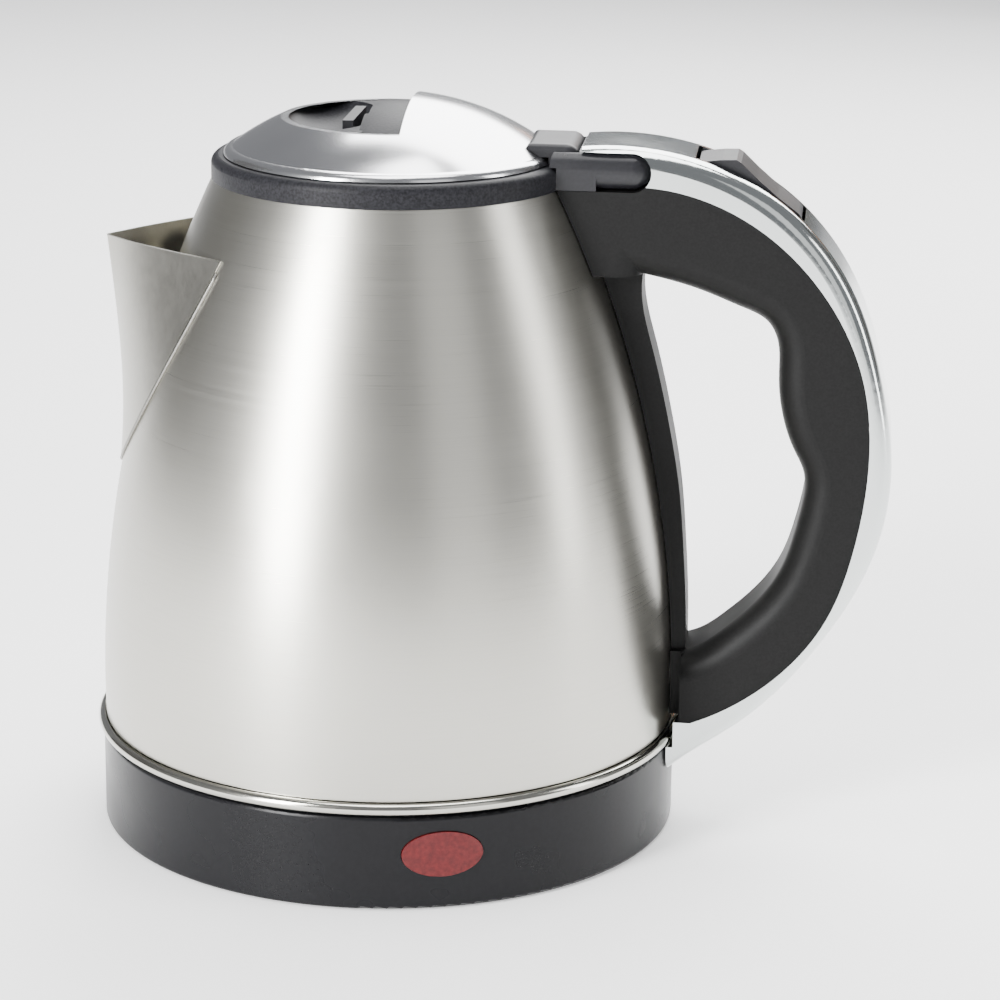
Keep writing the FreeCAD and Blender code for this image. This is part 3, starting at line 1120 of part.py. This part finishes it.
def make_switch():
    """Under the rocker: a frame with the pin's cheeks, the snap lever, its contacts and the steam disc."""
    px, pz = "rocker_pivot_x", "rocker_pivot_z"
    outer, inner = "(rocker_half + 2.5)", "(rocker_half + move_gap)"
    floor_top, lever_level, disc_level = pz + " - 15", pz + " - 12.2", pz + " - 10.5"
    parts = [box("switch_base", (px + " - 9", "-" + outer, pz + " - 17"), (px + " + 9", outer, floor_top)),
             box("switch_wings", (px + " - 5", "-grip_half + grip_wall + joint_gap", pz + " - 17"),
                 (px + " + 5", "grip_half - grip_wall - joint_gap", floor_top)),
             box("disc_wall", (px + " - 11.2", "-8.5", pz + " - 17"), (px + " - 9", "8.5", pz + " - 3"))]
    for side, (low, high) in enumerate((("-" + outer, "-" + inner), (inner, outer))):
        parts.append(box("switch_cheek_%d" % side, (px + " - 2.6", low, pz + " - 15.5"),
                         (px + " + 2.6", high, pz + " + 2.3")))
    for side, (low, high) in enumerate((("-7.4", "-6.2"), ("6.2", "7.4"))):
        parts.append(box("lever_ear_%d" % side, (px + " - 1.5", low, floor_top + " - 0.5"),
                         (px + " + 1.5", high, lever_level + " + 1.5")))
    holes = [cylinder("switch_pin_hole", "1.5 + pin_fit", "60", (px, "-30", pz), "Y"),
             cylinder("lever_pin_hole", "0.6 + pin_fit", "30", (px, "-15", lever_level), "Y"),
             cylinder("disc_window", "5", "10", (px + " - 14", "0", disc_level), "X")]
    keep("switch_frame", cut("switch_frame_cut", fuse("switch_frame_blank", parts), holes))
    lever_parts = [box("lever_bar", (px + " - 7", "-3", lever_level + " - 0.5"),
                       (px + " + 5", "3", lever_level + " + 0.5")),
                   box("lever_pads", (px + " - 7", "-5.6", lever_level + " - 0.5"),
                       (px + " - 4", "5.6", lever_level + " + 0.5")),
                   cylinder("lever_hub", "1.3", "11.6", (px, "-5.8", lever_level), "Y")]
    lever_bore = cylinder("lever_bore", "0.6 + pin_fit", "20", (px, "-10", lever_level), "Y")
    keep("contact_lever", cut("contact_lever_cut", fuse("lever_blank", lever_parts), [lever_bore]))
    keep("lever_pin", cylinder("lever_pin_rod", "0.6", "14.6", (px, "-7.3", lever_level), "Y"))
    contacts = [cylinder("contact_%d" % side, "1.2", "1.2", (px + " - 5.5", y, floor_top))
                for side, y in enumerate(("-4.8", "4.8"))]
    keep("switch_contacts", group("switch_contact_pair", contacts))
    keep("steam_disc", cylinder("steam_disc_blank", "6.5", "0.8", (px + " - 12", "0", disc_level), "X"))


def make_duct():
    start = wall_at("duct_level") + " - 2.5"
    outside = cylinder("duct_outside", "duct_radius", "14", (start, "0", "duct_level"), "X")
    bore = cylinder("duct_bore", "duct_radius - 1", "20", (start + " - 2", "0", "duct_level"), "X")
    keep("steam_duct", cut("steam_duct_cut", outside, [bore]))


def wall_patch(name, low, high, half, thick):
    """A welded plate that follows the steel wall between two heights, on the handle's side."""
    outer = vessel_blank(name + "_outer", thick, low, high)
    inner = vessel_blank(name + "_inner", "0", "(%s) - 1" % low, "(%s) + 1" % high)
    window = box(name + "_window", ("0", "-(%s)" % half, low), ("belly_radius + 20", half, high))
    return cut(name, common(name + "_band", outer, window), [inner])


def make_brackets():
    tab_level = "neck_level - 6"
    patch = wall_patch("upper_patch", tab_level + " - bracket_thick", "neck_level - 2.3", "6.8",
                       "bracket_thick")
    tab = box("upper_tab", (NECK + " - 1", "-6.8", tab_level + " - bracket_thick"),
              (NECK + " + 8.0", "6.8", tab_level))
    wall_room = vessel_blank("upper_tab_room", "0.02", "neck_level - 40", "neck_level")
    hole = cylinder("upper_tab_hole", "screw_radius + 0.1", "10", (UPPER_SCREW_X, "0", tab_level + " - 5"))
    keep("upper_bracket",
         cut("upper_bracket_cut", fuse("upper_bracket_blank", [patch, tab]), [hole, wall_room]))

    patch = wall_patch("lower_patch", LOWER_SEAT, LOWER_SEAT + " + 5", "6", "bracket_thick")
    tab = box("lower_tab", ("belly_radius - 1", "-6", LOWER_SEAT),
              ("lower_face + 13", "6", LOWER_SEAT + " + bracket_thick"))
    wall_room = vessel_blank("lower_tab_room", "0.02", "housing_height + 8", "neck_level")
    hole = cylinder("lower_tab_hole", "screw_radius + 0.05", "10", (LOWER_SCREW_X, "0", LOWER_SEAT + " - 5"))
    slot = box("lower_tab_slot", ("lower_face", "-wire_room + 0.4", LOWER_SEAT + " - 2"),
               ("lower_face + 4.5", "wire_room - 0.4", LOWER_SEAT + " + 3"))
    keep("lower_bracket",
         cut("lower_bracket_cut", fuse("lower_bracket_blank", [patch, tab]), [hole, wall_room, slot]))

    screws = [screw("upper_screw", "screw_radius", UPPER_SCREW_X, "0", tab_level + " - bracket_thick",
                    "neck_level + 2", 1.35, 1.2),
              screw("lower_screw", "screw_radius", LOWER_SCREW_X, "0", LOWER_SEAT + " - 3",
                    LOWER_SEAT + " + 3")]
    for side, y in enumerate(GRIP_SCREW_Y):
        seat = "(%s + 8.3 + grip_wall)" % NECK
        shank = cylinder("grip_screw_shank_%d" % side, "screw_radius", "%s - (%s + 4.4)" % (seat, NECK),
                         (NECK + " + 4.4", y, GRIP_SCREW_Z), "X")
        head = cylinder("grip_screw_head_%d" % side, "1.45 * screw_radius", "1.8", (seat, y, GRIP_SCREW_Z),
                        "X")
        screws.append(fuse("grip_screw_%d" % side, [shank, head]))
    keep("handle_screws", group("handle_screw_set", screws))


def routed_wire(points, radius, bend):
    """A round wire along straight runs that are joined by tangent arcs."""
    edges = []
    last = points[0]
    for before, corner, after in zip(points, points[1:], points[2:]):
        arrive, leave = (corner - before).normalize(), (after - corner).normalize()
        angle = arrive.getAngle(leave)
        if angle < 1e-3:
            continue
        setback = bend * math.tan(angle / 2)
        inward = (leave - arrive).normalize()
        start, end = corner - arrive * setback, corner + leave * setback
        middle = corner + inward * (bend / math.cos(angle / 2) - bend)
        edges += [segment(last, start), Part.Arc(start, middle, end).toShape()]
        last = end
    edges.append(segment(last, points[-1]))
    way = (points[1] - points[0]).normalize()
    circle = Part.Wire(Part.makeCircle(radius, points[0], way))
    return Part.Wire(edges).makePipeShell([circle], True, False)


def make_wires():
    """Two wires from the control, out behind the housing's rim and up inside the handle to the switch."""
    face, base = number("lower_face") + 1.9, number("housing_height")
    under = number(SHELF_UNDER) - 2.7
    inside_handle = ((20.0, 0.120), (36.5, 0.235), (46.0, 0.385), (49.6, 0.540), (53.0, 0.690),
                     (51.5, 0.800),
                     (42.3, 0.852))
    wires = []
    for side in (-2.7, 2.7):
        points = [Vector(26.0, side, base - 1.1), Vector(36.0, side, base - 1.1), Vector(46.0, side, under),
                  Vector(number("housing_radius") - 11.5, side, under),
                  Vector(number("housing_radius") - 3.5, side, base - 1.1),
                  Vector(face, side, base - 1.1), Vector(face, side, number(LOWER_SEAT) + 3.2)]
        points += [handle_point(knot, side) for knot in inside_handle]
        wires.append(solid_feature("wire_%d" % len(wires), routed_wire(points, number("wire_radius"), 1.8)))
    keep("supply_wires", group("supply_wire_pair", wires))


# ---------------------------------------------------------------------------------------------
# Build everything, check it, write the files
# ---------------------------------------------------------------------------------------------
make_body_shell()
make_spout()
make_bottom_pan()
make_heater()
make_control()
make_housing()
make_lamp()
make_collar()
make_lid_cover()
make_lid_cup()
make_lid_plug()
make_knuckle()
make_latch()
make_shoulder()
make_grip()
make_trim()
make_rocker()
make_switch()
make_duct()
make_brackets()
make_wires()

doc.recompute()
for thing in doc.Objects:
    if "Invalid" in thing.State or "Error" in thing.State:
        raise RuntimeError("%s failed: %s" % (thing.Name, thing.State))
for thing in SUBPARTS:
    if thing.Shape.isNull() or not thing.Shape.isValid():
        raise RuntimeError("%s has no valid shape" % thing.Label)

os.makedirs("parts", exist_ok=True)
for thing in SUBPARTS:
    thing.Shape.exportStep("parts/%s.step" % thing.Label)
    size = thing.Shape.BoundBox
    print("%-20s %2d solids %10.1f mm3  x %.1f..%.1f y %.1f..%.1f z %.1f..%.1f" % (
        thing.Label, len(thing.Shape.Solids), thing.Shape.Volume, size.XMin, size.XMax,
        size.YMin, size.YMax, size.ZMin, size.ZMax))
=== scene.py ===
import math

import bmesh
import bpy
from mathutils import Matrix, Vector


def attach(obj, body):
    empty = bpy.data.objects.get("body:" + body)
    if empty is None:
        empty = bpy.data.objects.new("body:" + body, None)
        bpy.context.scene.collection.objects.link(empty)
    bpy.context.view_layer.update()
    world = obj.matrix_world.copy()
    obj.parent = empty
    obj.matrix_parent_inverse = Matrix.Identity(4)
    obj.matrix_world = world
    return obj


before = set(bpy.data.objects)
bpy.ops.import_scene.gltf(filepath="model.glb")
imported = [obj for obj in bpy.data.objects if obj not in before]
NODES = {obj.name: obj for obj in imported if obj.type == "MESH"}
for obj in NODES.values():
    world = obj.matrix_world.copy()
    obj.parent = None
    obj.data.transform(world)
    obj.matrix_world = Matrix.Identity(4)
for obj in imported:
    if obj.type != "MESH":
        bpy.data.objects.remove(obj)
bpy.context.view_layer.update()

MM = 0.001
FLOOR_DROP = 0.4 * MM

# ---------------------------------------------------------------------------------------------
# Stage: a pale floor, soft boxes on both sides and high at the back, dark and brown cards that
# the steel and chrome reflect, and the camera with a long lens a little above the lid.
# ---------------------------------------------------------------------------------------------
world = bpy.data.worlds.new("studio")
bpy.context.scene.world = world
world.use_nodes = True
world.node_tree.nodes["Background"].inputs["Color"].default_value = (0.93, 0.95, 1.0, 1)
world.node_tree.nodes["Background"].inputs["Strength"].default_value = 0.30


def stage_plane(name, size, place, look, colour, glow=0.0):
    """A flat card that belongs to the studio, facing from its place towards a point."""
    mesh = bpy.data.meshes.new(name)
    flat = bmesh.new()
    half_size = Matrix.Diagonal((size[0] / 2, size[1] / 2, 1, 1))
    bmesh.ops.create_grid(flat, x_segments=1, y_segments=1, size=1, matrix=half_size)
    flat.to_mesh(mesh)
    flat.free()
    card = bpy.data.objects.new(name, mesh)
    bpy.context.scene.collection.objects.link(card)
    way = Vector(look) - Vector(place)
    card.matrix_world = Matrix.Translation(place) @ way.to_track_quat("Z", "Y").to_matrix().to_4x4()
    mat = bpy.data.materials.new(name)
    mat.use_nodes = True
    shader = mat.node_tree.nodes["Principled BSDF"]
    shader.inputs["Base Color"].default_value = (*colour, 1)
    shader.inputs["Roughness"].default_value = 0.6
    shader.inputs["Emission Color"].default_value = (*colour, 1)
    shader.inputs["Emission Strength"].default_value = glow
    mesh.materials.append(mat)


LID_HEIGHT = (0.08, 0, 0.17)
MIDDLE = (0, 0, 0.12)
stage_plane("floor", (14, 14), (0, 0, -FLOOR_DROP), (0, 0, 1), (0.93, 0.93, 0.93), glow=0.62)
stage_plane("dark_card_right", (0.5, 1.0), (1.35, 0.75, 0.56), MIDDLE, (0.03, 0.028, 0.025))
stage_plane("dark_card_left", (0.9, 1.0), (-1.30, 0.42, 0.52), MIDDLE, (0.03, 0.03, 0.03))
stage_plane("dark_card_back", (0.8, 0.5), (0.62, 1.35, 0.42), LID_HEIGHT, (0.035, 0.035, 0.03))
stage_plane("brown_card_back", (0.7, 0.06), (0.50, 1.30, 0.47), LID_HEIGHT, (0.42, 0.17, 0.07),
            glow=0.5)


def soft_box(name, place, aim, size, power):
    """A rectangular lamp turned from its place towards a point."""
    light = bpy.data.lights.new(name, "AREA")
    light.shape = "RECTANGLE"
    light.size, light.size_y = size
    light.energy = power
    lamp = bpy.data.objects.new(name, light)
    bpy.context.scene.collection.objects.link(lamp)
    way = Vector(aim) - Vector(place)
    lamp.matrix_world = Matrix.Translation(place) @ way.to_track_quat("-Z", "Y").to_matrix().to_4x4()


soft_box("key_left", (-0.77, -1.09, 0.55), (0, 0, 0.1), (0.34, 1.1), 56)
soft_box("fill_right", (1.35, -0.12, 0.45), (0, 0, 0.1), (0.26, 1.0), 6)
soft_box("top", (0.1, -0.1, 1.5), (0, 0, 0.1), (0.9, 0.7), 18)
soft_box("front_right", (0.80, -1.05, 0.52), (0, 0, 0.12), (0.6, 1.2), 2)
soft_box("back_high", (0.24, 0.95, 1.08), (0, 0, 0.18), (1.15, 1.2), 48)

CAMERA_PLACE = Vector((119.4, -849.4, 333.6)) * MM
CAMERA_WAY = Vector((-0.101, 0.9555, -0.2773)).normalized()
CAMERA_ROLL = math.radians(0.72)
right = CAMERA_WAY.cross(Vector((0, 0, 1))).normalized()
up = right.cross(CAMERA_WAY)
across = right * math.cos(CAMERA_ROLL) + up * math.sin(CAMERA_ROLL)
above = up * math.cos(CAMERA_ROLL) - right * math.sin(CAMERA_ROLL)
camera = bpy.data.objects.new("camera", bpy.data.cameras.new("camera"))
camera.data.sensor_width = 36
camera.data.lens = 119.6
camera_turn = Matrix((across, above, -CAMERA_WAY)).transposed().to_4x4()
camera.matrix_world = Matrix.Translation(CAMERA_PLACE) @ camera_turn
bpy.context.scene.collection.objects.link(camera)
bpy.context.scene.camera = camera

# ---------------------------------------------------------------------------------------------
# Vessel: brushed steel that is turned on its axis, so the brushing runs around it. The same
# sheet makes the spout. Fine lines drive the bump, the roughness and a slight change of tone.
# ---------------------------------------------------------------------------------------------


def new_material(name, colour, metallic, roughness):
    """A material with its node tree and its shader."""
    mat = bpy.data.materials.new(name)
    mat.use_nodes = True
    shader = mat.node_tree.nodes["Principled BSDF"]
    shader.inputs["Base Color"].default_value = (*colour, 1)
    shader.inputs["Metallic"].default_value = metallic
    shader.inputs["Roughness"].default_value = roughness
    return mat, mat.node_tree, shader


def noise(tree, stretch, scale, detail=3.0, rough=0.55):
    """Noise read in the object's own coordinates, stretched by a vector."""
    place = tree.nodes.new("ShaderNodeTexCoord")
    mapping = tree.nodes.new("ShaderNodeMapping")
    mapping.inputs["Scale"].default_value = stretch
    tree.links.new(place.outputs["Object"], mapping.inputs["Vector"])
    texture = tree.nodes.new("ShaderNodeTexNoise")
    texture.inputs["Scale"].default_value = scale
    texture.inputs["Detail"].default_value = detail
    texture.inputs["Roughness"].default_value = rough
    tree.links.new(mapping.outputs["Vector"], texture.inputs["Vector"])
    return texture.outputs["Fac"]


def spread(tree, value, low, high, start=0.3, end=0.7):
    """Map a value onto a range."""
    ranged = tree.nodes.new("ShaderNodeMapRange")
    ranged.inputs["From Min"].default_value = start
    ranged.inputs["From Max"].default_value = end
    ranged.inputs["To Min"].default_value = low
    ranged.inputs["To Max"].default_value = high
    tree.links.new(value, ranged.inputs["Value"])
    return ranged.outputs["Result"]


def tone(tree, shader, value, dark, light, start=0.3, end=0.7):
    """Blend the base colour between two tones by a value."""
    ramp = tree.nodes.new("ShaderNodeValToRGB")
    ramp.color_ramp.elements[0].position = start
    ramp.color_ramp.elements[0].color = (*dark, 1)
    ramp.color_ramp.elements[1].position = end
    ramp.color_ramp.elements[1].color = (*light, 1)
    tree.links.new(value, ramp.inputs["Fac"])
    tree.links.new(ramp.outputs["Color"], shader.inputs["Base Color"])


def bump(tree, shader, value, strength, distance):
    """Raise the surface's relief by a value."""
    relief = tree.nodes.new("ShaderNodeBump")
    relief.inputs["Strength"].default_value = strength
    relief.inputs["Distance"].default_value = distance
    tree.links.new(value, relief.inputs["Height"])
    tree.links.new(relief.outputs["Normal"], shader.inputs["Normal"])


def dress(mat, *nodes):
    """Give whole nodes one material."""
    for node in nodes:
        NODES[node].data.materials.clear()
        NODES[node].data.materials.append(mat)


def brushed(name, dark, light, roughness, stretch, depth):
    """Brushed metal: lines along the directions that the stretch leaves coarse."""
    mat, tree, shader = new_material(name, light, 1.0, roughness)
    lines = noise(tree, stretch, 1.0, detail=6.0, rough=0.7)
    cloud = noise(tree, (1, 1, 1), 18.0)
    tone(tree, shader, lines, dark, light, 0.25, 0.75)
    mixed = tree.nodes.new("ShaderNodeMath")
    mixed.operation = "MULTIPLY"
    tree.links.new(lines, mixed.inputs[0])
    tree.links.new(spread(tree, cloud, 0.8, 1.2), mixed.inputs[1])
    dulling = spread(tree, mixed.outputs["Value"], roughness - 0.02, roughness + 0.03)
    tree.links.new(dulling, shader.inputs["Roughness"])
    bump(tree, shader, lines, depth, 0.00006)
    return mat


AROUND_AXIS, ALONG_FOLD = (14, 14, 6200), (900, 10, 520)
SHELL = brushed("brushed_shell", (0.49, 0.478, 0.432), (0.54, 0.528, 0.48), 0.29, AROUND_AXIS, 0.05)
SPOUT = brushed("brushed_spout", (0.45, 0.438, 0.395), (0.51, 0.498, 0.452), 0.31, ALONG_FOLD, 0.06)
dress(SHELL, "body_shell")
dress(SPOUT, "spout")

# ---------------------------------------------------------------------------------------------
# Spout's seam: the thin welded line where the folded sheet meets the wall, on both sides. It is
# a fine round bead of bridged circles just outside the sheet's edge, a little darker than it.
# ---------------------------------------------------------------------------------------------
WALL_RADIUS, WALL_CURVE, WIDEST_LEVEL = 77.0 * MM, 320.0 * MM, 38.0 * MM
SEAM_FOOT, SEAM_TOP, SEAM_ANGLE = 95.5 * MM, 155.6 * MM, math.radians(44.8)
SEAM_RADIUS, SEAM_STEPS, SEAM_SIDES = 0.42 * MM, 48, 8
SEAM_PROUD, SEAM_ASIDE = 0.25 * MM, 0.5 * MM
SEAM_FIRST, SEAM_SHARE, SEAM_CROWDING = 0.004, 0.98, 1.6
SMALL_SHARE = 0.002


def wall_radius(level):
    """Outer radius of the steel wall at a height."""
    drop = level - WIDEST_LEVEL
    return WALL_RADIUS - WALL_CURVE + math.sqrt(WALL_CURVE ** 2 - drop ** 2)


def seam_point(share, side):
    """Point on the seam, from its foot at 0 to its top at 1."""
    level = SEAM_FOOT + (SEAM_TOP - SEAM_FOOT) * share
    reach = wall_radius(level)
    angle = SEAM_ANGLE * math.sqrt(share) + SEAM_ASIDE / reach
    reach += SEAM_PROUD
    return Vector((-reach * math.cos(angle), side * reach * math.sin(angle), level))


seam_mesh = bmesh.new()
for side in (-1, 1):
    last_ring = []
    for step in range(SEAM_STEPS + 1):
        share = SEAM_FIRST + SEAM_SHARE * (step / SEAM_STEPS) ** SEAM_CROWDING
        at = seam_point(share, side)
        way = seam_point(share + SMALL_SHARE, side) - seam_point(share - SMALL_SHARE, side)
        way.normalize()
        out = Vector((at.x, at.y, 0)).normalized()
        across = way.cross(out).normalized()
        out = across.cross(way).normalized()
        turn = Matrix((across, out, -way)).transposed().to_4x4()
        ring = bmesh.ops.create_circle(
            seam_mesh, cap_ends=step in (0, SEAM_STEPS), segments=SEAM_SIDES, radius=SEAM_RADIUS,
            matrix=Matrix.Translation(at) @ turn)["verts"]
        edges = [edge for edge in seam_mesh.edges if all(vert in ring for vert in edge.verts)]
        if last_ring:
            bmesh.ops.bridge_loops(seam_mesh, edges=last_ring + edges)
        last_ring = edges
bmesh.ops.recalc_face_normals(seam_mesh, faces=seam_mesh.faces)
for face in seam_mesh.faces:
    face.smooth = True
mesh = bpy.data.meshes.new("spout_seam")
seam_mesh.to_mesh(mesh)
seam_mesh.free()
spout_seam = bpy.data.objects.new("spout_seam", mesh)
bpy.context.scene.collection.objects.link(spout_seam)
WELD = brushed("welded_line", (0.20, 0.195, 0.18), (0.32, 0.31, 0.29), 0.38, (900, 900, 900), 0.2)
mesh.materials.append(WELD)
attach(spout_seam, "kettle")

# ---------------------------------------------------------------------------------------------
# Polished steel: the bead under the wall and the lid's dome. Faint swirls and finger dulling
# keep the mirror from looking new.
# ---------------------------------------------------------------------------------------------


def polished(name, colour, roughness, smear=0.05):
    """Mirror-bright metal, dulled here and there by the smear."""
    mat, tree, shader = new_material(name, colour, 1.0, roughness)
    swirl = noise(tree, (1, 1, 1), 35.0, detail=4.0)
    hairlines = noise(tree, (30, 900, 30), 1.0, detail=5.0)
    dulling = spread(tree, swirl, roughness, roughness + smear, 0.4, 0.75)
    tree.links.new(dulling, shader.inputs["Roughness"])
    bump(tree, shader, hairlines, 0.05, 0.00002)
    return mat


dress(polished("polished_dome", (0.70, 0.70, 0.71), 0.17), "lid_cover")
dress(polished("polished_bead", (0.52, 0.51, 0.46), 0.14), "bottom_pan")

# ---------------------------------------------------------------------------------------------
# Plastics: satin black bottom housing, matt grip, and the dark grey textured collar, shoulder,
# knuckle, recess insert, latch tab and rocker.
# ---------------------------------------------------------------------------------------------


def moulded(name, colour, roughness, grain, depth, fleck, shine=0.5):
    """Moulded plastic with a fine grain, flecked by two tones of its colour."""
    mat, tree, shader = new_material(name, colour, 0.0, roughness)
    shader.inputs["Specular IOR Level"].default_value = shine
    texture = noise(tree, (1, 1, 1), grain, detail=2.0)
    cloud = noise(tree, (1, 1, 1), 30.0)
    dark = tuple(channel * (1 - 0.25 * fleck) for channel in colour)
    light = tuple(min(1, channel * (1 + 0.35 * fleck)) for channel in colour)
    tone(tree, shader, texture, dark, light, 0.35, 0.65)
    dulling = spread(tree, cloud, roughness - 0.05, roughness + 0.07)
    tree.links.new(dulling, shader.inputs["Roughness"])
    bump(tree, shader, texture, depth, 0.0001)
    return mat


HOUSING = moulded("black_plastic", (0.005, 0.005, 0.006), 0.27, 900.0, 0.04, 0.4, 0.17)
GRIP = moulded("grip_plastic", (0.006, 0.006, 0.006), 0.48, 1500.0, 0.15, 0.5, 0.12)
GREY = moulded("grey_plastic", (0.012, 0.012, 0.014), 0.42, 1500.0, 0.40, 1.4, 0.10)
SATIN = moulded("grey_satin", (0.009, 0.009, 0.011), 0.34, 1200.0, 0.10, 0.5, 0.34)
dress(HOUSING, "base_housing", "underplate", "lid_plug", "spring_post")
dress(GRIP, "handle_grip", "steam_duct")
dress(GREY, "collar_ring", "lid_cup")
dress(SATIN, "shoulder", "lid_knuckle", "latch_slider", "power_switch")


def soften(node, width):
    """Break the moulding's sharp edges."""
    edge = NODES[node].modifiers.new("broken_edges", "BEVEL")
    edge.width = width
    edge.segments = 3
    edge.limit_method = "ANGLE"
    edge.angle_limit = math.radians(32)
    edge.harden_normals = True


soften("power_switch", 0.7 * MM)
soften("latch_slider", 0.5 * MM)
WHITE = moulded("white_plastic", (0.70, 0.68, 0.63), 0.5, 900.0, 0.1, 0.2)
PHENOLIC = moulded("phenolic", (0.06, 0.045, 0.035), 0.5, 700.0, 0.2, 0.8)
SILICONE = moulded("silicone", (0.66, 0.66, 0.63), 0.45, 500.0, 0.1, 0.1)
dress(WHITE, "lamp_holder", "switch_frame")
dress(PHENOLIC, "control_body", "control_cover")
dress(SILICONE, "lid_seal")

# ---------------------------------------------------------------------------------------------
# Handle's back: bright chromed plastic with a faint green-grey cast and fine wear.
# ---------------------------------------------------------------------------------------------
dress(polished("trim_chrome", (0.62, 0.65, 0.64), 0.10, 0.08), "handle_trim")

# ---------------------------------------------------------------------------------------------
# Lamp: a clear red lens over a small neon lamp.
# ---------------------------------------------------------------------------------------------
mat, tree, shader = new_material("lens_red", (0.10, 0.005, 0.006), 0.0, 0.16)
shader.inputs["Specular IOR Level"].default_value = 0.25
shader.inputs["Transmission Weight"].default_value = 0.2
grain = noise(tree, (1, 1, 1), 900.0)
tone(tree, shader, grain, (0.07, 0.004, 0.005), (0.13, 0.008, 0.009))
bump(tree, shader, grain, 0.2, 0.0001)
dress(mat, "lamp_lens")
mat, tree, shader = new_material("lamp_glass", (0.9, 0.7, 0.6), 0.0, 0.05)
shader.inputs["Transmission Weight"].default_value = 0.9
bump(tree, shader, noise(tree, (1, 1, 1), 60.0), 0.05, 0.0001)
dress(mat, "neon_lamp")

# ---------------------------------------------------------------------------------------------
# Metal inside: heater, spreader, contacts, screws, brackets and wires.
# ---------------------------------------------------------------------------------------------


def metal(name, colour, roughness, *nodes):
    """Plain metal, clouded by handling."""
    mat, tree, shader = new_material(name, colour, 1.0, roughness)
    cloud = noise(tree, (1, 1, 1), 140.0, detail=5.0)
    dark = tuple(channel * 0.75 for channel in colour)
    tone(tree, shader, cloud, dark, colour)
    tree.links.new(spread(tree, cloud, roughness + 0.1, roughness - 0.05), shader.inputs["Roughness"])
    bump(tree, shader, cloud, 0.12, 0.00008)
    dress(mat, *nodes)


metal("plain_steel", (0.56, 0.55, 0.53), 0.3,
      "element_terminals", "control_studs", "control_screws", "base_studs", "base_screws",
      "lid_screws", "knuckle_screws", "hinge_pin", "rocker_pin", "lever_pin", "handle_screws",
      "upper_bracket", "lower_bracket")
metal("spring_steel", (0.45, 0.44, 0.42), 0.25, "latch_spring")
metal("aluminium", (0.70, 0.70, 0.71), 0.4, "heat_spreader")
metal("element_tube", (0.36, 0.35, 0.34), 0.45, "heating_element")
metal("contact_brass", (0.72, 0.55, 0.27), 0.25,
      "centre_contact", "neutral_ring", "earth_ring", "contact_leaves", "contact_lever",
      "switch_contacts")
metal("bimetal", (0.62, 0.58, 0.50), 0.3, "dry_boil_discs", "steam_disc")
dress(moulded("wire_sleeve", (0.70, 0.62, 0.50), 0.7, 2500.0, 0.5, 0.3), "supply_wires")
